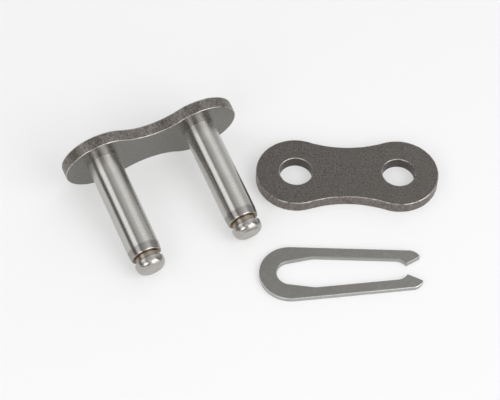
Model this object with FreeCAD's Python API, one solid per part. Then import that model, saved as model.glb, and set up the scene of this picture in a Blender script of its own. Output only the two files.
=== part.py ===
import FreeCAD, Part
import math
import os

# Chain connecting link of 19.05 mm pitch, taken apart and laid out on a flat surface: an outer plate with
# its two pins riveted in, the loose cover plate that goes over the pins, and the spring clip that locks it.
# Millimetres, +Z up, z = 0 on the surface, and the origin below the middle of the whole set.

V = FreeCAD.Vector

# Driving sizes of the chain
pitch = 19.05                # from pin to pin

# Pins
pin_d = 6.0                  # ground journal that the bushes run on
pin_seat_drop = 0.20         # the seat in the plate is turned down by this radius, so the plate stops on a shoulder
pin_shoulder = 20.0          # inner face of the pin plate to the shoulder before the groove
pin_lead = 1.65              # length of the slight taper that ends at the shoulder
pin_lead_drop = 0.12         # what the taper takes off the radius
pin_corner = 0.10            # broken corners on both sides of the groove
groove_depth = 0.70
groove_width = 1.05
head_length = 1.90           # from the groove to the free end
head_drop = 0.25             # the head's radius is this much under the journal's
head_round = 1.00            # round on the free end
rivet_proud = 0.80           # riveted end behind the plate
rivet_spread = 0.45          # what riveting adds to the seat's radius there
rivet_break = 0.45

# Outer plate that carries the pins
pin_plate_h = 14.65          # height over a lobe
pin_plate_waist = 9.20
pin_plate_t = 2.30

# Cover plate
cover_h = 14.85
cover_waist = 11.55
cover_t = 2.40
cover_clearance = 0.03       # radial, round the journal
hole_chamfer = 0.10

plate_break = 0.20           # edges of both plates, broken by tumbling

# Spring clip
clip_t = 0.92
clip_end_r = 5.65            # outside of the closed end
clip_leg = 2.05              # width of a leg
clip_mouth = 2.20            # way in between the two hooks
clip_slack = 0.19            # radial, round the groove at the closed end
clip_grip = 0.08             # how far the relaxed hooks lie inside the groove's surface
clip_belly = 4.30            # where the slot is widest, from the closed end's pin
clip_belly_r = 3.00
clip_nose = 2.75             # how far the tips reach past the hooks
clip_lead_deg = 28.6         # slope of the funnel that the tips form
clip_tip_r = 2.26
clip_point_r = 0.15

# Where the pieces lie, each by the end that is nearest to its neighbours
link_turn = 27.48            # degrees from +X to the line through both pins
right_pin_end_at = (0.34, -9.62)
cover_turn = 2.64
cover_left_end_at = (0.86, 5.02)
clip_turn = 5.62
clip_closed_end_at = (2.27, -16.94)

# Sizes that follow
pin_r = pin_d / 2
pin_seat_r = pin_r - pin_seat_drop
groove_r = pin_r - groove_depth
head_start = pin_shoulder + groove_width
pin_end = head_start + head_length
head_r = pin_r - head_drop


def polar(radius, degrees, centre=(0, 0)):
    """Point at an angle on a circle in the XY plane."""
    a = math.radians(degrees)
    return V(centre[0] + radius * math.cos(a), centre[1] + radius * math.sin(a), 0)


def arc(start, middle, end):
    return Part.Arc(start, middle, end).toShape()


def rounded_corner(before, corner, after, radius):
    """Arc that rounds a corner between two straight runs, as its start, middle and end points."""
    to_before = (before - corner).normalize()
    to_after = (after - corner).normalize()
    half = to_before.getAngle(to_after) / 2
    inward = (to_before + to_after).normalize()
    reach = radius / math.tan(half)
    middle = corner + inward * (radius / math.sin(half) - radius)
    return corner + to_before * reach, middle, corner + to_after * reach


def plate(height, waist, thickness, hole):
    """Figure-eight plate: two lobes round the pin centres, joined by hollow arcs at the waist."""
    lobe = height / 2
    half_waist = waist / 2
    waist_r = ((pitch / 2) ** 2 + half_waist ** 2 - lobe ** 2) / (2 * (lobe - half_waist))
    rise = math.degrees(math.atan2(half_waist + waist_r, -pitch / 2))
    join = polar(lobe, rise, (pitch / 2, 0))
    corners = [V(join.x, -join.y, 0), join, V(-join.x, join.y, 0), V(-join.x, -join.y, 0)]
    middles = [V(pitch / 2 + lobe, 0, 0), V(0, half_waist, 0), V(-pitch / 2 - lobe, 0, 0), V(0, -half_waist, 0)]
    edges = [arc(corners[i], middles[i], corners[(i + 1) % 4]) for i in range(4)]
    slab = Part.Face(Part.Wire(edges)).extrude(V(0, 0, thickness))
    rims = [e for e in slab.Edges if abs(e.BoundBox.ZLength) < thickness / 2]
    slab = slab.makeChamfer(plate_break, rims)
    for side in (-1, 1):
        slab = slab.cut(hole.translated(V(side * pitch / 2, 0, 0)))
    return slab


def turned(profile):
    """Solid of revolution about Z from (radius, height) points. A third value rounds that corner."""
    edges = []
    points = [V(p[0], 0, p[1]) for p in profile]
    at = points[0]
    for i in range(1, len(profile)):
        if len(profile[i]) == 3:
            start, middle, end = rounded_corner(points[i - 1], points[i], points[i + 1], profile[i][2])
            edges += [Part.makeLine(at, start), arc(start, middle, end)]
            at = end
        else:
            edges.append(Part.makeLine(at, points[i]))
            at = points[i]
    edges.append(Part.makeLine(at, points[0]))
    return Part.Face(Part.Wire(edges)).revolve(V(0, 0, 0), V(0, 0, 1), 360)


def pin():
    """Pin on Z with the plate's inner face at z = 0, from its riveted end below to the grooved end above."""
    back = -pin_plate_t - rivet_proud
    rivet_r = pin_seat_r + rivet_spread
    shoulder_r = pin_r - pin_lead_drop
    return turned([
        (0, back),
        (rivet_r - rivet_break, back),
        (rivet_r, back + rivet_break),
        (rivet_r, -pin_plate_t),
        (pin_seat_r, -pin_plate_t),
        (pin_seat_r, 0),
        (pin_r, 0),
        (pin_r, pin_shoulder - pin_lead),
        (shoulder_r, pin_shoulder - pin_corner),
        (shoulder_r - pin_corner, pin_shoulder),
        (groove_r, pin_shoulder),
        (groove_r, head_start),
        (head_r - pin_corner, head_start),
        (head_r, head_start + pin_corner),
        (head_r, pin_end, head_round),
        (0, pin_end),
    ])


def pin_plate():
    """Plate that the pins are pressed into, with its inner face at z = 0."""
    hole = Part.makeCylinder(pin_seat_r, pin_plate_t)
    shape = plate(pin_plate_h, pin_plate_waist, pin_plate_t, hole)
    return shape.translated(V(0, 0, -pin_plate_t))


def cover_plate():
    """Loose plate that slides over both pins."""
    hole_r = pin_r + cover_clearance
    hole = turned([
        (0, 0),
        (hole_r + hole_chamfer, 0),
        (hole_r, hole_chamfer),
        (hole_r, cover_t - hole_chamfer),
        (hole_r + hole_chamfer, cover_t),
        (0, cover_t),
    ])
    return plate(cover_h, cover_waist, cover_t, hole)


def clip_side():
    """Edges of the clip's upper half, from the closed end's outside to its inside. That pin's centre is 0, 0."""
    seat_r = groove_r + clip_slack
    hook_r = groove_r - clip_grip
    taper = math.degrees(math.asin((clip_end_r - clip_leg - hook_r) / pitch))
    normal = polar(1, 90 - taper)
    along = polar(1, -taper)

    # hook and funnel
    half_mouth = clip_mouth / 2
    hook_deg = math.degrees(math.asin(half_mouth / hook_r))
    hook = polar(hook_r, hook_deg, (pitch, 0))
    tip = hook + polar(clip_nose / math.cos(math.radians(clip_lead_deg)), clip_lead_deg)

    # outer round that runs from the straight outside to the tip
    base = normal * (clip_end_r - clip_tip_r)
    to_tip = tip - base
    rise = to_tip.dot(normal)
    centre = base + along * (to_tip.dot(along) - math.sqrt(clip_tip_r ** 2 - rise ** 2))
    tip_deg = math.degrees(math.atan2(tip.y - centre.y, tip.x - centre.x))
    nose_start = polar(clip_tip_r, 90 - taper, centre)
    nose_end = polar(clip_tip_r, tip_deg + math.degrees(clip_point_r / clip_tip_r), centre)
    nose_middle = polar(clip_tip_r, (90 - taper + tip_deg) / 2, centre)
    point_end = tip + (hook - tip).normalize() * clip_point_r
    point_middle = (nose_end + point_end + tip * 2) * 0.25

    # slot: seat at the open end, straight side, belly, straight run to the closed end's seat
    open_seat = polar(hook_r, 90 - taper, (pitch, 0))
    belly = V(clip_belly, (normal.dot(open_seat) - normal.x * clip_belly) / normal.y, 0)
    closed_deg = math.degrees(math.atan2(belly.y, belly.x) + math.acos(seat_r / belly.Length))
    closed_seat = polar(seat_r, closed_deg)
    belly_start, belly_middle, belly_end = rounded_corner(open_seat, belly, closed_seat, clip_belly_r)

    return [
        arc(V(-clip_end_r, 0, 0), polar(clip_end_r, 135 - taper / 2), normal * clip_end_r),
        Part.makeLine(normal * clip_end_r, nose_start),
        arc(nose_start, nose_middle, nose_end),
        arc(nose_end, point_middle, point_end),
        Part.makeLine(point_end, hook),
        arc(hook, polar(hook_r, (hook_deg + 90 - taper) / 2, (pitch, 0)), open_seat),
        Part.makeLine(open_seat, belly_start),
        arc(belly_start, belly_middle, belly_end),
        Part.makeLine(belly_end, closed_seat),
        arc(closed_seat, polar(seat_r, (closed_deg + 180) / 2), V(-seat_r, 0, 0)),
    ]


def spring_clip():
    """Flat clip, stamped from strip, that snaps into both grooves."""
    upper = clip_side()
    lower = [e.mirror(V(0, 0, 0), V(0, 1, 0)) for e in upper]
    outline = Part.Wire(Part.__sortEdges__(upper + lower))
    return Part.Face(outline).extrude(V(0, 0, clip_t))


def laid(shape, at, turn, nearest):
    """The shape turned on the surface, with its point nearest on X put over the place at."""
    turned_by = FreeCAD.Rotation(V(0, 0, 1), turn)
    place = V(at[0], at[1], 0) - turned_by.multVec(V(nearest, 0, 0))
    return placed(shape, place, turned_by)


def placed(shape, place, rotation):
    moved = shape.copy()
    moved.Placement = FreeCAD.Placement(place, rotation).multiply(shape.Placement)
    return moved


def link_placement():
    """Turn and place of the plate and pins as they rest: on the plate's lower edge and both pin ends.

    The plate touches with the outside of its broken edge and each pin with the round on its head, so the tilt
    solves reach * cos(tilt) - run * sin(tilt) = head_round.
    """
    lobe = pin_plate_h / 2
    reach = lobe - head_r + head_round
    run = pin_end - head_round + plate_break
    tilt = math.acos(head_round / math.hypot(reach, run)) - math.atan2(run, reach)
    height = lobe * math.cos(tilt) - plate_break * math.sin(tilt)
    tipped = FreeCAD.Rotation(V(1, 0, 0), 90 + math.degrees(tilt))
    rotation = FreeCAD.Rotation(V(0, 0, 1), link_turn).multiply(tipped)
    end = rotation.multVec(V(pitch / 2, 0, pin_end))
    place = V(right_pin_end_at[0] - end.x, right_pin_end_at[1] - end.y, height)
    return place, rotation


def build():
    """All pieces where they lie, each under its node's name."""
    place, rotation = link_placement()
    one_pin = pin()
    cover_half = (pitch + cover_h) / 2
    pieces = {
        "pin_plate": placed(pin_plate(), place, rotation),
        "cover_plate": laid(cover_plate(), cover_left_end_at, cover_turn, -cover_half),
        "spring_clip": laid(spring_clip(), clip_closed_end_at, clip_turn, -clip_end_r),
    }
    for name, side in (("pin_left", -1), ("pin_right", 1)):
        at = place + rotation.multVec(V(side * pitch / 2, 0, 0))
        pieces[name] = placed(one_pin, at, rotation)
    box = Part.makeCompound(list(pieces.values())).optimalBoundingBox(False, False)
    shift = V(-box.Center.x, -box.Center.y, -box.ZMin)
    return {name: shape.translated(shift) for name, shape in pieces.items()}


os.makedirs("parts", exist_ok=True)
for name, shape in build().items():
    shape.exportStep("parts/" + name + ".step")
    print(name, "valid" if shape.isValid() else "NOT VALID", round(shape.Volume, 2), "mm3")
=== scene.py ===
# %% [markdown]
# # A chain connecting link, laid out in its pieces
#
# The real thing joins the two ends of a roller chain. An outer plate carries two riveted pins, a loose cover
# plate goes over the pins, and a flat spring clip snaps into the grooves at their ends. Here the pieces lie on
# a white surface before they are put together.
#
# The CAD model gives every size and place. This lesson rebuilds the five pieces with Blender's own modelling
# operators, one after the other, with the small rounds and edges that catch the light, and then gives each
# its steel.

# %% Load the fixed frame
import math

import bpy
from mathutils import Matrix, Vector


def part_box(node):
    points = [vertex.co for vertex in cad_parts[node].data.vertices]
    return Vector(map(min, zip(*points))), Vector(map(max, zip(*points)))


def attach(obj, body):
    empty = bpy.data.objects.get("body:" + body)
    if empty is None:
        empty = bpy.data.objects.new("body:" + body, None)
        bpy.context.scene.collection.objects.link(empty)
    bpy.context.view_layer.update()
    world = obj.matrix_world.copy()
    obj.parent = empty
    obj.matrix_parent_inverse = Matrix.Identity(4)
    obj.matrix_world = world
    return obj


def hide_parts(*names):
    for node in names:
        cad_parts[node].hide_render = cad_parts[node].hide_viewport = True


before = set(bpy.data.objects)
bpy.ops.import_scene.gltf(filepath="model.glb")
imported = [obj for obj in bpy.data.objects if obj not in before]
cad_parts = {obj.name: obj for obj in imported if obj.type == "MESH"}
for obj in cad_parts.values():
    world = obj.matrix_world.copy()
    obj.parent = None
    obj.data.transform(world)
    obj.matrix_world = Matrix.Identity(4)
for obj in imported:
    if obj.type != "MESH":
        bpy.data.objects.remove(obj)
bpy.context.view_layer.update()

# %% [markdown]
# ## The camera
#
# The view is from in front and well above, as someone would photograph small parts on a table. The camera
# could be placed by eye, but a small product shows every degree. So its tilt, its slight lean and its long
# lens were worked out from the outlines of all the pieces, and are set here as numbers.

# %% Place the camera
MM = 0.001
aim = Vector((-0.1525, 3.0982, 0)) * MM
distance = 350.388 * MM
looks_down = math.radians(53.466)
lean = math.radians(2.783)

forward = Vector((0, math.cos(looks_down), -math.sin(looks_down)))
level_right = Vector((1, 0, 0))
level_up = Vector((0, math.sin(looks_down), math.cos(looks_down)))
right = level_right * math.cos(lean) + level_up * math.sin(lean)
up = level_up * math.cos(lean) - level_right * math.sin(lean)

bpy.ops.object.camera_add(location=aim - forward * distance)
camera = bpy.context.object
camera.rotation_euler = Matrix((right, up, -forward)).transposed().to_euler()
camera.data.lens = 136.666
camera.data.sensor_width = 36
camera.data.sensor_fit = "HORIZONTAL"
camera.data.clip_start = 10 * MM
bpy.context.scene.camera = camera
print("camera", round(distance / MM), "mm from the pieces, lens", round(camera.data.lens), "mm")

# %% [markdown]
# ## Sizes
#
# Roller chain comes in fixed pitches, and this link belongs to the 19.05 mm one. The numbers are those of the
# CAD model, in millimetres. The link's own frame has X along the pitch, Y up the plate and Z along the pins,
# with zero on the plate's inner face.

# %% Sizes of the chain, and where the pieces lie
PITCH = 19.05
JOURNAL_R = 3.0
SEAT_R = 2.8
GROOVE_R = 2.3
HEAD_R = 2.75
RIVET_END = -3.1
HEAD_END = 22.95
PIN_PLATE_T = 2.3
COVER_T = 2.4

LINK_PLACE = (-18.6409, 9.0227, 7.1346)
LINK_TURN = 27.48
LINK_TIP = 90 + 11.618
COVER_PLACE = (17.6345, 8.8952, 0)
COVER_TURN = 2.64
CLIP_PLACE = (7.7354, -13.2922, 0)
CLIP_TURN = 5.62
print(f"pitch {PITCH} mm, pins {2 * JOURNAL_R} mm thick, plates {PIN_PLATE_T} and {COVER_T} mm thick")

# %% [markdown]
# ## A pen for outlines
#
# Stamped plates, clips and turned pins all start as an outline. It could be drawn as a curve, but a curve has to
# become a mesh before it can be shaped further. A pen in the mesh itself works well: one vertex that is carried
# along straight runs by extruding it, and round arcs by spinning it about a centre. Every piece is drawn at the
# origin and moved to its place only when it is finished.

# %% The pen: start it, and carry it along lines and arcs
SAME_POINT = 0.0005 * MM  # points that lie nearer to each other than this are one


def deselect_all():
    """Back to object mode with nothing selected, because an operator acts on all that is selected."""
    if bpy.context.object and bpy.context.object.mode != "OBJECT":
        bpy.ops.object.mode_set(mode="OBJECT")
    bpy.ops.object.select_all(action="DESELECT")


def start_outline(name, at):
    """A new piece that is one vertex, selected in edit mode. A small plane merged into its middle gives it."""
    deselect_all()
    bpy.ops.mesh.primitive_plane_add(size=MM)
    piece = bpy.context.object
    piece.name = piece.data.name = name
    bpy.ops.object.mode_set(mode="EDIT")
    bpy.ops.mesh.select_mode(type="VERT")
    bpy.ops.mesh.merge(type="CENTER")
    bpy.ops.transform.translate(value=Vector(at) * MM)
    return piece


def line_by(step):
    """Carry the pen along a straight run, in millimetres."""
    bpy.ops.mesh.extrude_region_move(TRANSFORM_OT_translate={"value": Vector(step) * MM})


def arc_about(centre, degrees, steps):
    """Carry the pen anticlockwise round a centre. Spin counts clockwise as positive, so the sign is turned."""
    centre = Vector((centre[0], centre[1], 0)) * MM
    bpy.ops.mesh.spin(steps=steps, angle=-math.radians(degrees), center=centre, axis=(0, 0, 1))


# %% [markdown]
# ## The pins
#
# A pin is turned from bar, hardened and then ground between wheels, so it is round to a few thousandths of a
# millimetre. It could be stacked from cylinders, but what was made on a lathe is best made as on a lathe: half
# its profile is drawn beside the axis and spun round it, so every shoulder and taper comes out in one piece.
#
# From the back, the profile runs over the riveted end, the seat in the plate, the long journal, the slight
# lead that the grinding wheel doesn't reach, the groove for the clip, and the start of the head.

# %% Draw the profile of a pin
profile = [
    (0, RIVET_END),
    (2.98, RIVET_END),
    (3.25, -2.75),
    (3.25, -PIN_PLATE_T),
    (SEAT_R, -PIN_PLATE_T),
    (SEAT_R, 0),
    (JOURNAL_R, 0),
    (JOURNAL_R, 0.15),
    (JOURNAL_R, 18.15),
    (JOURNAL_R, 18.35),
    (2.955, 18.95),
    (2.9, 19.55),
    (2.87, 19.82),
    (2.73, 20.0),
    (GROOVE_R, 20.0),
    (GROOVE_R, 21.05),
    (HEAD_R - 0.1, 21.05),
    (HEAD_R, 21.15),
    (HEAD_R, 21.3),
]
pin = start_outline("left_pin", (profile[0][0], 0, profile[0][1]))
for before, after in zip(profile, profile[1:]):
    line_by((after[0] - before[0], 0, after[1] - before[1]))
print("pin profile:", len(profile), "points up to the head's round")

# %% [markdown]
# The head is a little barrel shaped: a gentle arc that turns 15 degrees, then a tighter one for the other 75.
# The pen can draw both by spinning about an axis that points along Y instead of Z, each about a centre that
# lies on the line square to the arc before. Then it runs flat to the pin's axis. A short first run keeps the
# flat end's own flat shading.

# %% Round the head
GENTLE_R = 3.0
SHORT_RUN = 0.15
gentle = math.radians(15)
gentle_centre = Vector((HEAD_R - GENTLE_R, 0, profile[-1][1]))
square = Vector((math.cos(gentle), 0, math.sin(gentle)))
tight_r = (HEAD_END - (gentle_centre + GENTLE_R * square).z) / (1 - square.z)
tight_centre = gentle_centre + (GENTLE_R - tight_r) * square
bpy.ops.mesh.spin(steps=4, angle=gentle, center=gentle_centre * MM, axis=(0, 1, 0))
bpy.ops.mesh.spin(steps=9, angle=math.pi / 2 - gentle, center=tight_centre * MM, axis=(0, 1, 0))
line_by((-SHORT_RUN, 0, 0))
line_by((SHORT_RUN - tight_centre.x, 0, 0))
print(f"head: arcs of {GENTLE_R} and {tight_r:.2f} mm")

# %% [markdown]
# Every corner that is left knife sharp looks like a computer's, because real ones catch a thin line of light. A
# Bevel modifier would round them all alike. A vertex bevel on the profile gives each corner its own size.


# %% Break the sharp corners
def select_points(piece, wanted):
    """Edit mode with just the vertices selected whose place, in millimetres, the test accepts."""
    bpy.ops.object.mode_set(mode="EDIT")
    bpy.ops.mesh.select_mode(type="VERT")
    bpy.ops.mesh.select_all(action="DESELECT")
    bpy.ops.object.mode_set(mode="OBJECT")
    for point in piece.data.vertices:
        point.select = wanted(point.co / MM)
    bpy.ops.object.mode_set(mode="EDIT")


SOFT_CORNERS = (
    (2.98, RIVET_END, 0.16),
    (3.25, -2.75, 0.14),
    (2.87, 19.82, 0.13),
    (2.73, 20.0, 0.08),
    (HEAD_R, 21.15, 0.05),
)
for radius, height, size in SOFT_CORNERS:
    select_points(pin, lambda p: abs(p.x - radius) < 0.01 and abs(p.z - height) < 0.01)
    bpy.ops.mesh.bevel(offset=size * MM, segments=3, affect="VERTICES")
print("pin:", len(SOFT_CORNERS), "corners rounded, by", min(c[2] for c in SOFT_CORNERS), "mm or more")


# %% Spin the profile round the axis
def clean_up(piece):
    """Merge the doubles that arcs leave, turn all faces outwards and shade the small rounds smooth."""
    bpy.ops.object.mode_set(mode="EDIT")
    bpy.ops.mesh.select_all(action="SELECT")
    bpy.ops.mesh.remove_doubles(threshold=SAME_POINT)
    bpy.ops.mesh.normals_make_consistent(inside=False)
    bpy.ops.object.mode_set(mode="OBJECT")
    bpy.ops.object.shade_smooth_by_angle(angle=math.radians(32))


bpy.ops.mesh.select_all(action="SELECT")
bpy.ops.mesh.spin(steps=128, angle=math.tau, center=(0, 0, 0), axis=(0, 0, 1))
clean_up(pin)
print("pin:", len(pin.data.polygons), "faces,", round(pin.dimensions.z / MM, 2), "mm long")

# %% [markdown]
# Both pins are the same part, so the second is a copy with its own mesh. Each goes to its end of the pitch
# and is tipped and turned with the link. The place is then applied to the mesh, so that the object itself stays
# at the origin: a pattern that follows object coordinates would slide if the object were moved later.

# %% Copy the pin
deselect_all()
pin.select_set(True)
bpy.context.view_layer.objects.active = pin
bpy.ops.object.duplicate()
right_pin = bpy.context.object
right_pin.name = right_pin.data.name = "right_pin"
print("pins:", pin.name, "and", right_pin.name)


# %% Tools to set a finished piece down
def turned(turn, tip=0):
    """Rotation that tips a piece about its X axis and then turns it about Z, from degrees."""
    return Matrix.Rotation(math.radians(turn), 4, "Z") @ Matrix.Rotation(math.radians(tip), 4, "X")


def set_down(piece, place, turn, tip=0):
    """Tip the piece about X, turn it about Z, put it in its place, and keep all that in its mesh."""
    deselect_all()
    piece.select_set(True)
    bpy.context.view_layer.objects.active = piece
    piece.matrix_world = Matrix.Translation(Vector(place) * MM) @ turned(turn, tip)
    bpy.ops.object.transform_apply(location=True, rotation=True, scale=True)


def stand_for(piece, node):
    """Give the piece the CAD node's part in the model, and print how far their boxes differ."""
    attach(piece, "root")
    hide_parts(node)
    low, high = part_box(node)
    corners = [v.co for v in piece.data.vertices]
    off = max(
        max(abs(min(c[i] for c in corners) - low[i]), abs(max(c[i] for c in corners) - high[i]))
        for i in range(3)
    )
    print(f"{piece.name}: {len(piece.data.polygons)} faces, box within {off / MM:.3f} mm of {node}")


# %% Set both pins down
def along_link(x):
    """Where a point of the link's X axis lies once the link is turned, in millimetres."""
    a = math.radians(LINK_TURN)
    return (LINK_PLACE[0] + x * math.cos(a), LINK_PLACE[1] + x * math.sin(a), LINK_PLACE[2])


set_down(pin, along_link(-PITCH / 2), LINK_TURN, LINK_TIP)
set_down(right_pin, along_link(PITCH / 2), LINK_TURN, LINK_TIP)
stand_for(pin, "pin_left")
stand_for(right_pin, "pin_right")

# %% [markdown]
# ## The plates
#
# Link plates are stamped from strip as a figure eight: two lobes round the holes, joined by hollow arcs. The
# outer plate is pressed on the pins' seats. The cover plate has a wider waist, and its holes leave the pins
# a little play, so that it can be taken off by hand.
#
# A plate could be cut out of a block with booleans, but that leaves long thin faces round the rims. Here the
# outline is four arcs, the holes are circles in the same mesh, and one fill makes the face between them.
# Extruding that face gives the walls, and a few small insets with depth round the rims, at the outside and
# at the holes at once, as tumbling does. The clip is stamped too, so the same two functions finish it.


# %% Round a rim
RIM_STEPS = 3
RING = 0.03  # width in millimetres of a last flat ring, which keeps the face's flat shading


def select_faces(piece, wanted):
    """Edit mode with just the faces selected whose middle, in millimetres, and normal the test accepts."""
    bpy.ops.object.mode_set(mode="EDIT")
    bpy.ops.mesh.select_mode(type="FACE")
    bpy.ops.mesh.select_all(action="DESELECT")
    bpy.ops.object.mode_set(mode="OBJECT")
    for face in piece.data.polygons:
        face.select = wanted(face.center / MM, face.normal)
    bpy.ops.object.mode_set(mode="EDIT")


def round_rim(piece, upwards, radius):
    """Round all rims of the top or bottom face: each inset takes the face in a little and pushes it out a little."""
    side = 1 if upwards else -1
    select_faces(piece, lambda middle, normal: normal.z * side > 0.99)
    angles = [math.pi / 2 * i / RIM_STEPS for i in range(RIM_STEPS + 1)]
    for a, b in zip(angles, angles[1:]):
        bpy.ops.mesh.inset(
            thickness=radius * (math.cos(a) - math.cos(b)) * MM,
            depth=radius * (math.sin(b) - math.sin(a)) * MM,
        )
    bpy.ops.mesh.inset(thickness=RING * MM, depth=0)


# %% Give an outline its thickness
def thicken(piece, thickness, top_round, bottom_round, band):
    """Fill the outline, pull it up and round its rims. A narrow band at top and bottom keeps the wall flat."""
    bpy.ops.mesh.select_all(action="SELECT")
    bpy.ops.mesh.fill()
    wall = thickness - top_round - bottom_round
    for step in (band, wall - 2 * band, band):
        bpy.ops.mesh.extrude_region_move(TRANSFORM_OT_translate={"value": Vector((0, 0, step)) * MM})
    bpy.ops.mesh.select_all(action="SELECT")
    bpy.ops.mesh.normals_make_consistent(inside=False)
    round_rim(piece, True, top_round)
    round_rim(piece, False, bottom_round)
    clean_up(piece)


# %% [markdown]
# The steel is not the same all over a stamped piece: its walls are sheared, its edges are worn and its holes
# are darker. The material will need to know which is which. Painted masks would do, but the normals tell it at
# once while the piece still lies flat, so each face keeps three numbers.


# %% Mark the zones
UPRIGHT, LEVEL = 0.1, 0.98  # the normal's upright part is less than this on a wall, and more on a flat face


def mark_zones(piece, is_inside):
    """Numbers on every face of a flat stamped piece: 1 on walls, on rounded edges, and inside its holes or slot."""
    zones = {name: piece.data.attributes.new(name, "FLOAT", "FACE").data for name in ("wall", "edge", "hole")}
    for face in piece.data.polygons:
        upward = abs(face.normal.z)
        middle = face.center / MM
        zones["wall"][face.index].value = float(upward < UPRIGHT)
        zones["edge"][face.index].value = float(UPRIGHT <= upward < LEVEL)
        zones["hole"][face.index].value = float(is_inside(middle.x, middle.y))


# %% A stamped plate
LOBE_STEPS, WAIST_STEPS, HOLE_STEPS = 84, 18, 96


def stamped_plate(name, height, waist, thickness, hole_r, top_round, bottom_round, base=0):
    """Figure-eight plate with two holes, its underside at the height base."""
    lobe, half_waist = height / 2, waist / 2
    # The waist's arcs touch both lobes, and that gives their radius and where they join
    waist_r = ((PITCH / 2) ** 2 + half_waist**2 - lobe**2) / (2 * (lobe - half_waist))
    rise = math.degrees(math.atan2(half_waist + waist_r, -PITCH / 2))
    join = (
        PITCH / 2 + lobe * math.cos(math.radians(rise)),
        lobe * math.sin(math.radians(rise)),
    )
    bottom = base + bottom_round
    piece = start_outline(name, (join[0], -join[1], bottom))
    for side in (1, -1):
        arc_about((side * PITCH / 2, 0), 2 * rise, LOBE_STEPS)
        arc_about((0, side * (half_waist + waist_r)), 180 - 2 * rise, WAIST_STEPS)
    bpy.ops.mesh.select_all(action="SELECT")
    bpy.ops.mesh.remove_doubles(threshold=SAME_POINT)
    for side in (1, -1):
        middle = Vector((side * PITCH / 2, 0, bottom)) * MM
        bpy.ops.mesh.primitive_circle_add(vertices=HOLE_STEPS, radius=hole_r * MM, location=middle)
    thicken(piece, thickness, top_round, bottom_round, band=0.04)
    mark_zones(piece, lambda x, y: math.hypot(abs(x) - PITCH / 2, y) < hole_r + 0.01)
    print(f"{name}: waist arcs of {waist_r:.2f} mm, {len(piece.data.polygons)} faces")
    return piece


# %% The outer plate, and the cover plate
outer_plate = stamped_plate(
    "outer_plate",
    height=14.65,
    waist=9.2,
    thickness=PIN_PLATE_T,
    hole_r=SEAT_R,
    top_round=0.13,
    bottom_round=0.22,
    base=-PIN_PLATE_T,
)
set_down(outer_plate, LINK_PLACE, LINK_TURN, LINK_TIP)
stand_for(outer_plate, "pin_plate")

cover = stamped_plate(
    "cover",
    height=14.85,
    waist=11.55,
    thickness=COVER_T,
    hole_r=JOURNAL_R + 0.03,
    top_round=0.16,
    bottom_round=0.22,
)
set_down(cover, COVER_PLACE, COVER_TURN)
stand_for(cover, "cover_plate")

# %% [markdown]
# ## The spring clip
#
# The clip is stamped from thin spring steel. Its closed end goes round one groove, and its two hooks snap
# into the other. The seat at the closed end is a little wider than the groove, and the hooks grip a little
# tighter than it. On its inside, each leg bends at its belly towards the closed end, with a large soft round.
# On its outside, the nose runs round to the tip, and from there a funnel leads the pin in between the hooks.
#
# The whole edge could be drawn, but both legs are alike. So half of it is drawn, and a Mirror modifier adds the
# rest.

# %% Work out the clip's corner points
CLIP_T = 0.92
CLIP_END_R = 5.65
LEG_W = 2.05
HOOK_GAP = 2.2
TIP_LENGTH = 2.75
NOSE_R = 2.26
BELLY_X = 4.3
seat_r = GROOVE_R + 0.19
hook_r = GROOVE_R - 0.08
taper = math.asin((CLIP_END_R - LEG_W - hook_r) / PITCH)
# Directions across and along the upper leg
across = Vector((math.sin(taper), math.cos(taper), 0))
along = Vector((math.cos(taper), -math.sin(taper), 0))


def round_point(radius, radians, centre=(0, 0)):
    """Point at an angle on a circle, in millimetres."""
    return Vector((centre[0] + radius * math.cos(radians), centre[1] + radius * math.sin(radians), 0))


hook_angle = math.asin(HOOK_GAP / 2 / hook_r)
hook = round_point(hook_r, hook_angle, (PITCH, 0))
funnel = math.radians(28.6)
tip = hook + round_point(TIP_LENGTH / math.cos(funnel), funnel)

# The nose: its arc touches the outside of the leg and ends at the tip
leg_line = across * (CLIP_END_R - NOSE_R)
to_tip = tip - leg_line
nose_centre = leg_line + along * (to_tip.dot(along) - math.sqrt(NOSE_R**2 - to_tip.dot(across) ** 2))
tip_angle = math.atan2(tip.y - nose_centre.y, tip.x - nose_centre.x)
nose_start = round_point(NOSE_R, math.pi / 2 - taper, nose_centre)

# The inside: straight from the seat at the hooks to the belly, and from there on to touch the closed seat
open_seat = round_point(hook_r, math.pi / 2 - taper, (PITCH, 0))
belly = Vector((BELLY_X, (across.dot(open_seat) - across.x * BELLY_X) / across.y, 0))
closed_angle = math.atan2(belly.y, belly.x) + math.acos(seat_r / belly.length)
closed_seat = round_point(seat_r, closed_angle)
print("clip: hooks", round(2 * hook.y, 2), "mm apart, tips", round(2 * tip.y, 2), "mm apart")

# %% Draw half of the clip's edge and mirror it
clip = start_outline("clip", (-CLIP_END_R, 0, 0))
arc_about((0, 0), -(90 + math.degrees(taper)), 40)
line_by(nose_start - across * CLIP_END_R)
arc_about(nose_centre, -math.degrees(math.pi / 2 - taper - tip_angle), 12)
line_by(hook - tip)
arc_about((PITCH, 0), math.degrees(math.pi / 2 - taper - hook_angle), 8)
line_by(belly - open_seat)
line_by(closed_seat - belly)
arc_about((0, 0), 180 - math.degrees(closed_angle), 24)

for corner, size in ((belly, 0.55), (tip, 0.28), (hook, 0.19)):
    select_points(clip, lambda p: (p - corner).length < 0.02)
    bpy.ops.mesh.bevel(offset=size * MM, segments=4, affect="VERTICES")
bpy.ops.object.mode_set(mode="OBJECT")
bpy.ops.object.modifier_add(type="MIRROR")
clip.modifiers["Mirror"].use_axis = (False, True, False)
clip.modifiers["Mirror"].merge_threshold = 0.001 * MM
bpy.ops.object.modifier_apply(modifier="Mirror")
print("clip edge:", len(clip.data.vertices), "points")

# %% Fill the clip, give it its thickness, and lay it down
BOTTOM_ROUND = 0.08


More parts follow.
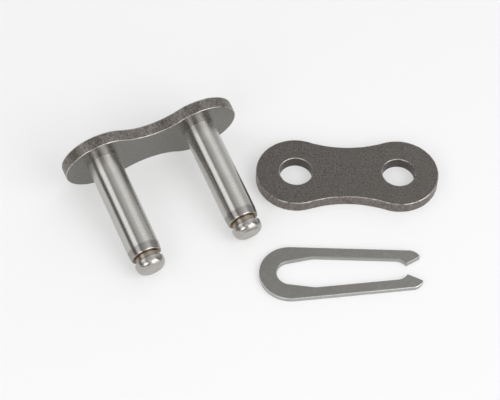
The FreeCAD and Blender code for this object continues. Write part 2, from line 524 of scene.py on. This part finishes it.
def in_slot(x, y):
    """Whether a point of the clip, in millimetres, is on the inside of its legs or on the funnel at its tips."""
    past_closed_end = x > -3
    near_middle = abs(y) < 2.5
    inside_leg = x < hook.x and across.x * x + across.y * abs(y) < CLIP_END_R - LEG_W + 0.15
    return past_closed_end and (near_middle or inside_leg)


bpy.ops.object.mode_set(mode="EDIT")
bpy.ops.mesh.select_all(action="SELECT")
bpy.ops.mesh.remove_doubles(threshold=SAME_POINT)
bpy.ops.transform.translate(value=(0, 0, BOTTOM_ROUND * MM))
thicken(clip, CLIP_T, top_round=0.12, bottom_round=BOTTOM_ROUND, band=0.03)
mark_zones(clip, in_slot)
set_down(clip, CLIP_PLACE, CLIP_TURN)
stand_for(clip, "spring_clip")

# %% [markdown]
# ## Tools for materials
#
# A material here is a small network of nodes. One helper adds a node with its settings and its links, and
# another turns the hex colours that people read off a screen into the linear values that Blender mixes.


# %% Colours and nodes
def linear(hex_colour):
    """RGBA in linear light from an sRGB hex value."""
    parts = [int(hex_colour[i : i + 2], 16) / 255 for i in (1, 3, 5)]
    return [c / 12.92 if c <= 0.04045 else ((c + 0.055) / 1.055) ** 2.4 for c in parts] + [1]


def add_node(tree, kind, sockets=None, **settings):
    """Add a node. Settings are its own fields, and sockets take a value or another node's output."""
    node = tree.nodes.new(kind)
    for name, value in settings.items():
        setattr(node, name, value)
    for name, value in (sockets or {}).items():
        if isinstance(value, bpy.types.NodeSocket):
            tree.links.new(value, node.inputs[name])
        else:
            node.inputs[name].default_value = value
    return node


def new_material(name):
    """Empty material with its shader and output already linked."""
    material = bpy.data.materials.new(name)
    material.use_nodes = True
    tree = material.node_tree
    tree.nodes.clear()
    shader = add_node(tree, "ShaderNodeBsdfPrincipled")
    add_node(tree, "ShaderNodeOutputMaterial", {"Surface": shader.outputs[0]})
    return material, tree, shader


def features(size_mm):
    """Scale of a texture whose features are that large, since object coordinates are in metres."""
    return 1 / (size_mm * MM)


print("hex #808080 is", round(linear("#808080")[0], 3), "in linear light; features of 1 mm have scale", features(1))

# %% [markdown]
# ## Ground pin steel
#
# The journals are case-hardened carbon steel, ground between wheels: bright, and smooth enough that the lights
# show as long bands. The lead keeps the duller finish from turning and hardening, the head is rounded and
# tumbled, and a little oil and brown stain stays in the groove.
#
# The pattern could be painted on a texture, but a texture has only so many pixels. Here a Mapping node turns
# the place of each point into the link's own frame, where Z runs along the pins and the plate's inner face is
# at zero. Everything that changes along a pin then just reads Z, and one material serves both pins.


# %% The link's own frame
def own_frame(place, turn, tip=0):
    """Location and rotation that a Mapping node needs to undo a piece's place on the floor."""
    undone = (Matrix.Translation(Vector(place) * MM) @ turned(turn, tip)).inverted()
    return {"Location": undone.to_translation(), "Rotation": undone.to_euler()}


LINK_FRAME = own_frame(LINK_PLACE, LINK_TURN, LINK_TIP)
print("link frame:", [round(math.degrees(a), 2) for a in LINK_FRAME["Rotation"]], "degrees")

# %% Pin steel: how far along the pin, from 0 at the riveted end to 1 at the head
pin_steel, tree, shader = new_material("ground case-hardened steel")
place = add_node(tree, "ShaderNodeTexCoord")
in_link = add_node(tree, "ShaderNodeMapping", {"Vector": place.outputs["Object"], **LINK_FRAME})
axes = add_node(tree, "ShaderNodeSeparateXYZ", {0: in_link.outputs[0]})
along_pin = add_node(
    tree, "ShaderNodeMapRange", {"Value": axes.outputs["Z"], "From Min": RIVET_END * MM, "From Max": HEAD_END * MM}
)
print("pin:", round(HEAD_END - RIVET_END, 2), "mm from end to end")

# %% Pin steel: place along the pin in millimetres, colour, roughness, and strength of the grinding marks
PIN_ZONES = (
    (RIVET_END, "#a5a29d", 0.26, 0),
    # Painted reflection: from the plate to 1.8 mm the colour is lighter, and it fades back by 4 mm. It stands in for
    # the lights' bright bands, which the plate hides from the pin's foot.
    (0.0, "#d0ceca", 0.28, 0.9),
    (1.8, "#d0ceca", 0.28, 0.9),
    (4.0, "#bfbdb9", 0.28, 0.9),
    (18.2, "#bfbdb9", 0.28, 0.9),
    (18.6, "#9b9895", 0.3, 0.9),
    (19.7, "#9f9c99", 0.29, 0.9),
    (19.97, "#b7b4b0", 0.26, 0.9),
    (19.99, "#786a50", 0.3, 0),
    (20.2, "#a1978a", 0.28, 0),
    (21.04, "#9a9186", 0.3, 0),
    (21.06, "#b4b1ad", 0.25, 0),
    (HEAD_END, "#b1aeaa", 0.25, 0),
)
tone = add_node(tree, "ShaderNodeValToRGB", {0: along_pin.outputs[0]})
gloss = add_node(tree, "ShaderNodeValToRGB", {0: along_pin.outputs[0]})
marks = add_node(tree, "ShaderNodeValToRGB", {0: along_pin.outputs[0]})
for ramp in (tone.color_ramp, gloss.color_ramp, marks.color_ramp):
    while len(ramp.elements) < len(PIN_ZONES):
        ramp.elements.new(1)
for i, (height, colour, rough, marked) in enumerate(PIN_ZONES):
    looks = ((tone, linear(colour)), (gloss, (rough, rough, rough, 1)), (marks, (marked, marked, marked, 1)))
    for ramp, value in looks:
        ramp.color_ramp.elements[i].position = (height - RIVET_END) / (HEAD_END - RIVET_END)
        ramp.color_ramp.elements[i].color = value
print("pin steel:", len(PIN_ZONES), "places along the pin")

# %% Pin steel: faint clouds, in which colour and gloss change a little
CLOUD_MM = 2.5
cloud = add_node(
    tree,
    "ShaderNodeTexNoise",
    {"Vector": in_link.outputs[0], "Scale": features(CLOUD_MM), "Detail": 4, "Roughness": 0.6},
)
shade = add_node(
    tree,
    "ShaderNodeMapRange",
    {"Value": cloud.outputs["Fac"], "From Min": 0.3, "From Max": 0.7, "To Min": 0.94, "To Max": 1.04},
)
clouded = add_node(
    tree, "ShaderNodeVectorMath", {0: tone.outputs["Color"], "Scale": shade.outputs[0]}, operation="SCALE"
)
tree.links.new(clouded.outputs[0], shader.inputs["Base Color"])
uneven = add_node(tree, "ShaderNodeMath", {0: gloss.outputs["Color"], 1: shade.outputs[0]}, operation="MULTIPLY")
tree.links.new(uneven.outputs[0], shader.inputs["Roughness"])
print("pin steel: clouds of", CLOUD_MM, "mm")

# %% [markdown]
# The grinding wheel leaves marks that run round the pin. Each tips the surface a little along the pin, so
# together they draw every reflection out along it, while round the pin it stays narrow. That is one reason why
# the bright bands run right down to the plate. Ever finer bumps could do this, but they sparkle. The shader's
# anisotropic gloss does it evenly, once it is given the pin's axis as its tangent. It ends at the groove, because
# the rounded head has no such marks. The other reason is a painted reflection: the pin's colour is lighter over
# its first few millimetres beside the plate.
#
# A faint relief of rings keeps the bands from looking ruled. The real marks are a few thousandths of
# a millimetre apart, too fine for a render, so the rings are drawn much coarser.

# %% Pin steel: grinding marks
RINGS_MM = 0.2
ROUND_THE_PIN = 0.06  # how fast the rings change round the pin, against along it
rings_at = add_node(
    tree, "ShaderNodeMapping", {"Vector": in_link.outputs[0], "Scale": (ROUND_THE_PIN, ROUND_THE_PIN, 1)}
)
rings = add_node(
    tree,
    "ShaderNodeTexNoise",
    {"Vector": rings_at.outputs[0], "Scale": features(RINGS_MM), "Detail": 1, "Roughness": 0.5},
)
relief = add_node(tree, "ShaderNodeBump", {"Height": rings.outputs["Fac"], "Strength": 0.08, "Distance": 0.003 * MM})
tree.links.new(relief.outputs[0], shader.inputs["Normal"])
pin_axis = turned(LINK_TURN, LINK_TIP) @ Vector((0, 0, 1))
spread = add_node(tree, "ShaderNodeCombineXYZ", {"X": pin_axis.x, "Y": pin_axis.y, "Z": pin_axis.z})
tree.links.new(spread.outputs[0], shader.inputs["Tangent"])
tree.links.new(marks.outputs["Color"], shader.inputs["Anisotropic"])
shader.inputs["Metallic"].default_value = 1
for piece in (pin, right_pin):
    piece.data.materials.append(pin_steel)
print("pin steel:", len(tree.nodes), "nodes, marks along", [round(c, 3) for c in pin_axis])

# %% [markdown]
# ## Stamped steel
#
# Plates and clip are stamped, and that leaves three kinds of surface. The faces keep the rolled skin of the
# strip. The walls are sheared, with fine streaks across the thickness, and darker inside the punched holes. The
# edges between them are worn bright where pieces rub in the tumbling drum, but not quite evenly, so the bright
# line breaks here and there.
#
# Three materials with their faces assigned would do, but they would meet in hard lines. The pieces carry
# their zones as numbers on the faces instead, and one material mixes the three surfaces, with noise at their
# borders. It is used three times, with each piece's own colours and its own frame, so that the streaks run
# across the thickness however the piece lies. Each function below adds one layer. The real grain and streaks
# are a few hundredths of a millimetre wide, too fine for a render, so both are drawn coarser.


# %% The face: a fine mottle under large faint clouds
FACE_CLOUD_MM = 4.5


def mottled_face(tree, own, tones, grain_mm):
    """Colour of the rolled skin, and its grain for roughness and relief."""
    grain = add_node(
        tree, "ShaderNodeTexNoise", {"Vector": own, "Scale": features(grain_mm), "Detail": 6, "Roughness": 0.75}
    )
    mottle = add_node(tree, "ShaderNodeMapRange", {"Value": grain.outputs["Fac"], "From Min": 0.38, "From Max": 0.62})
    fine = add_node(
        tree, "ShaderNodeMix", {0: mottle.outputs[0], 6: linear(tones[0]), 7: linear(tones[1])}, data_type="RGBA"
    )
    cloud = add_node(tree, "ShaderNodeTexNoise", {"Vector": own, "Scale": features(FACE_CLOUD_MM), "Detail": 3})
    cloudy = add_node(
        tree, "ShaderNodeMapRange", {"Value": cloud.outputs["Fac"], "From Min": 0.4, "From Max": 0.65, "To Max": 0.35}
    )
    face = add_node(
        tree, "ShaderNodeMix", {0: cloudy.outputs[0], 6: fine.outputs[2], 7: linear(tones[2])}, data_type="RGBA"
    )
    return face.outputs[2], grain.outputs["Fac"]


# %% The wall: streaks of the shear, brown stains, and a few lighter flakes
STREAK_MM, PATCH_MM = 0.28, 1.7
FLAKE = "#a99d8d"  # bare steel, where tumbling has chipped the dark skin


def sheared_wall(tree, own, tones, streak, stain, stained_from):
    """Colour of the walls, and their streaks for relief. Streak tells how many times longer than wide they are."""
    stretched = add_node(tree, "ShaderNodeMapping", {"Vector": own, "Scale": (1, 1, 1 / streak)})
    streaks = add_node(
        tree,
        "ShaderNodeTexNoise",
        {"Vector": stretched.outputs[0], "Scale": features(STREAK_MM), "Detail": 4, "Roughness": 0.65},
    )
    sheared = add_node(
        tree, "ShaderNodeMapRange", {"Value": streaks.outputs["Fac"], "From Min": 0.36, "From Max": 0.64}
    )
    wall = add_node(
        tree, "ShaderNodeMix", {0: sheared.outputs[0], 6: linear(tones[0]), 7: linear(tones[1])}, data_type="RGBA"
    )
    patches = add_node(
        tree, "ShaderNodeTexNoise", {"Vector": own, "Scale": features(PATCH_MM), "Detail": 6, "Roughness": 0.7}
    )
    stains = add_node(
        tree,
        "ShaderNodeMapRange",
        {"Value": patches.outputs["Fac"], "From Min": stained_from, "From Max": stained_from + 0.1, "To Max": 0.75},
    )
    stained = add_node(
        tree, "ShaderNodeMix", {0: stains.outputs[0], 6: wall.outputs[2], 7: linear(stain)}, data_type="RGBA"
    )
    flakes = add_node(
        tree, "ShaderNodeMapRange", {"Value": patches.outputs["Fac"], "From Min": 0.34, "From Max": 0.3, "To Max": 0.8}
    )
    flaked = add_node(
        tree, "ShaderNodeMix", {0: flakes.outputs[0], 6: stained.outputs[2], 7: linear(FLAKE)}, data_type="RGBA"
    )
    return flaked.outputs[2], streaks.outputs["Fac"]


# %% The edge: worn bright, with a few breaks
RUB_MM = 0.9


def worn_edge(tree, own, worn_from):
    """Where the rounds are worn bright."""
    rim = add_node(tree, "ShaderNodeAttribute", attribute_name="edge")
    rub = add_node(
        tree, "ShaderNodeTexNoise", {"Vector": own, "Scale": features(RUB_MM), "Detail": 4, "Roughness": 0.6}
    )
    rubbed = add_node(
        tree, "ShaderNodeMapRange", {"Value": rub.outputs["Fac"], "From Min": worn_from, "From Max": worn_from + 0.2}
    )
    worn = add_node(tree, "ShaderNodeMath", {0: rim.outputs["Fac"], 1: rubbed.outputs[0]}, operation="MULTIPLY")
    return worn.outputs[0]


# %% The whole stamped surface
HOLE_SHADE = 0.7  # how far the colour of a wall goes over to that of a hole
HOLE_EDGES = 0.3  # how much of the bright wear is left on the edges of holes, which the drum hardly reaches


def stamped_steel(
    name, frame_of_piece, faces, walls, hole, edge, worn_from, stain, stained_from, grain_mm, streak, gloss, depth_mm
):
    """Stamped steel. Gloss is the roughness of faces, walls and edges, and depth_mm that of the grain and streaks."""
    material, tree, shader = new_material(name)
    place = add_node(tree, "ShaderNodeTexCoord")
    own = add_node(tree, "ShaderNodeMapping", {"Vector": place.outputs["Object"], **frame_of_piece}).outputs[0]
    face, grain = mottled_face(tree, own, faces, grain_mm)
    wall, streaks = sheared_wall(tree, own, walls, streak, stain, stained_from)
    on_wall = add_node(tree, "ShaderNodeAttribute", attribute_name="wall").outputs["Fac"]
    in_hole = add_node(tree, "ShaderNodeAttribute", attribute_name="hole").outputs["Fac"]
    faint = add_node(tree, "ShaderNodeMapRange", {"Value": in_hole, "To Min": 1, "To Max": HOLE_EDGES})
    worn = add_node(
        tree, "ShaderNodeMath", {0: worn_edge(tree, own, worn_from), 1: faint.outputs[0]}, operation="MULTIPLY"
    ).outputs[0]
    darker = add_node(tree, "ShaderNodeMath", {0: in_hole, 1: HOLE_SHADE}, operation="MULTIPLY")
    punched = add_node(tree, "ShaderNodeMix", {0: darker.outputs[0], 6: wall, 7: linear(hole)}, data_type="RGBA")
    skin = add_node(tree, "ShaderNodeMix", {0: on_wall, 6: face, 7: punched.outputs[2]}, data_type="RGBA")
    colour = add_node(tree, "ShaderNodeMix", {0: worn, 6: skin.outputs[2], 7: linear(edge)}, data_type="RGBA")
    tree.links.new(colour.outputs[2], shader.inputs["Base Color"])

    face_or_wall = add_node(tree, "ShaderNodeMix", {0: on_wall, 2: gloss[0], 3: gloss[1]})
    with_edge = add_node(tree, "ShaderNodeMix", {0: worn, 2: face_or_wall.outputs[0], 3: gloss[2]})
    uneven = add_node(
        tree,
        "ShaderNodeMapRange",
        {"Value": grain, "From Min": 0.3, "From Max": 0.7, "To Min": -0.04, "To Max": 0.04},
    )
    roughness = add_node(tree, "ShaderNodeMath", {0: with_edge.outputs[0], 1: uneven.outputs[0]}, operation="ADD")
    tree.links.new(roughness.outputs[0], shader.inputs["Roughness"])

    height = add_node(tree, "ShaderNodeMix", {0: on_wall, 2: grain, 3: streaks})
    relief = add_node(
        tree, "ShaderNodeBump", {"Height": height.outputs[0], "Strength": 0.4, "Distance": depth_mm * MM}
    )
    tree.links.new(relief.outputs[0], shader.inputs["Normal"])
    shader.inputs["Metallic"].default_value = 1
    print(f"{name}: {len(tree.nodes)} nodes")
    return material


# %% Cover plate: hardened, tempered and tumbled carbon steel; dark brown grey with a fine mottle
cover_steel = stamped_steel(
    "tempered and tumbled steel",
    own_frame(COVER_PLACE, COVER_TURN),
    faces=("#4f4b48", "#7d7976", "#696561"),
    walls=("#686160", "#8c8581"),
    hole="#454240",
    edge="#bab5ae",
    worn_from=0.33,
    stain="#5f5147",
    stained_from=0.58,
    grain_mm=0.26,
    streak=3,
    gloss=(0.4, 0.42, 0.3),
    depth_mm=0.012,
)
cover.data.materials.append(cover_steel)

# %% Outer plate: the same steel, but its inner face is rubbed smooth, so it mirrors the pins softly
outer_steel = stamped_steel(
    "tempered steel with a rubbed inner face",
    LINK_FRAME,
    faces=("#75726c", "#82807c", "#7b7874"),
    walls=("#615d58", "#928d88"),
    hole="#454240",
    edge="#bdb9b3",
    worn_from=0.3,
    stain="#655a4b",
    stained_from=0.53,
    grain_mm=0.3,
    streak=1.5,
    gloss=(0.28, 0.42, 0.3),
    depth_mm=0.006,
)
outer_plate.data.materials.append(outer_steel)

# %% Clip: cold-rolled spring steel strip; satin mid grey, brighter on its sheared walls
clip_steel = stamped_steel(
    "rolled spring steel",
    own_frame(CLIP_PLACE, CLIP_TURN),
    faces=("#83817d", "#8e8c88", "#807e7a"),
    walls=("#a8a8a8", "#b3b3b3"),
    hole="#a3a3a2",
    edge="#d2d0cd",
    worn_from=0.1,
    stain="#6f6c67",
    stained_from=0.68,
    grain_mm=0.9,
    streak=2,
    gloss=(0.34, 0.34, 0.28),
    depth_mm=0.003,
)
clip.data.materials.append(clip_steel)

# %% [markdown]
# ## The surface and the light
#
# Steel shows what is round it, so the studio matters as much as the material. The surface is a sheet of opal
# acrylic, cast and matt, which the eye sees as an even white without shine. It is lit a little from below, as on
# a product table, and that keeps the shadows light.
#
# A picture of a studio could light it all, but its lights can't be moved. Area lights can, one by one, until
# each bright band on a pin lies where it should. Seven of them stand in front, at both sides and behind on the
# right. The room between them stays dim, and that gives the pins their dark bands.

# %% Floor
UNDERGLOW = 0.42
deselect_all()
bpy.ops.mesh.primitive_plane_add(size=3)
floor = bpy.context.object
floor.name = floor.data.name = "floor"
white, tree, shader = new_material("opal acrylic")
shader.inputs["Base Color"].default_value = linear("#bcbcbc")
shader.inputs["Roughness"].default_value = 0.9
shader.inputs["Emission Color"].default_value = (1, 1, 1, 1)
shader.inputs["Emission Strength"].default_value = UNDERGLOW
floor.data.materials.append(white)
print("floor:", floor.dimensions.x, "m wide, glowing at", UNDERGLOW)


# %% Soft lights
LIGHTS_AWAY = 0.7  # metres


def heading(azimuth, elevation):
    """Direction from the pieces: azimuth from the back, +Y, towards the right, and elevation above the floor."""
    a, e = math.radians(azimuth), math.radians(elevation)
    return Vector((math.sin(a) * math.cos(e), math.cos(a) * math.cos(e), math.sin(e)))


def soft_light(name, azimuth, elevation, wide, tall, brightness):
    """Rectangle of light that faces the pieces, with its width and height in degrees as they see it."""
    deselect_all()
    towards = heading(azimuth, elevation)
    bpy.ops.object.light_add(type="AREA", location=towards * LIGHTS_AWAY)
    light = bpy.context.object
    light.name = name
    light.rotation_euler = towards.to_track_quat("Z", "Y").to_euler()
    light.data.shape = "RECTANGLE"
    light.data.size = 2 * LIGHTS_AWAY * math.tan(math.radians(wide / 2))
    light.data.size_y = 2 * LIGHTS_AWAY * math.tan(math.radians(tall / 2))
    light.data.energy = brightness * math.pi * light.data.size * light.data.size_y
    light.visible_camera = False
    print(f"{name}: {light.data.size:.2f} x {light.data.size_y:.2f} m, {light.data.energy:.2f} W")


# Name, azimuth, elevation, width and height, all in degrees, and brightness
soft_light("right front light", 118, 42, 44, 34, 2.95)
soft_light("low right front light", 118, 14, 50, 26, 1.47)
soft_light("front light", 148, 24, 30, 34, 0.86)
soft_light("left front light", 204, 31, 34, 30, 2.73)
soft_light("upper front light", 165, 64, 30, 20, 0.73)
soft_light("left light", 262, 41, 40, 29, 1.2)
soft_light("right back light", 40, 57, 38, 38, 0.4)

# %% [markdown]
# The room round the lights could be one even grey, but real lights also light what stands about them. So it has
# four soft glows over a dim level: round the light behind on the right, round the light at the left, low on the
# backdrop behind the pieces, and on the ceiling. A glow is a map of how nearly a direction points at its middle.

# %% Room: a dim level and four glows
ROOM_LEVEL = 0.15
# Azimuth, elevation, radius of full glow and radius where it ends, all in degrees, and brightness
GLOWS = (
    (38, 57, 0, 45, 0.13),
    (262, 42, 4, 30, 0.17),
    (12, 8, 25, 62, 0.63),
    (20, 86, 5, 40, 0.47),
)
room = bpy.data.worlds.new("room")
bpy.context.scene.world = room
room.use_nodes = True
tree = room.node_tree
tree.nodes.clear()
direction = add_node(tree, "ShaderNodeTexCoord")
level = add_node(tree, "ShaderNodeValue")
level.outputs[0].default_value = ROOM_LEVEL
for azimuth, elevation, inner, outer, brightness in GLOWS:
    facing = add_node(
        tree,
        "ShaderNodeVectorMath",
        {0: direction.outputs["Generated"], 1: heading(azimuth, elevation)},
        operation="DOT_PRODUCT",
    )
    glow = add_node(
        tree,
        "ShaderNodeMapRange",
        {
            "Value": facing.outputs["Value"],
            "From Min": math.cos(math.radians(outer)),
            "From Max": math.cos(math.radians(inner)),
            "To Max": brightness,
        },
        interpolation_type="SMOOTHSTEP",
    )
    level = add_node(tree, "ShaderNodeMath", {0: level.outputs[0], 1: glow.outputs[0]}, operation="ADD")
background = add_node(tree, "ShaderNodeBackground", {"Color": (1, 1, 1, 1), "Strength": level.outputs[0]})
add_node(tree, "ShaderNodeOutputWorld", {"Surface": background.outputs[0]})
bpy.context.scene.view_settings.view_transform = "Standard"  # shows each colour as it is, with no film look
print("room:", len(tree.nodes), "nodes")
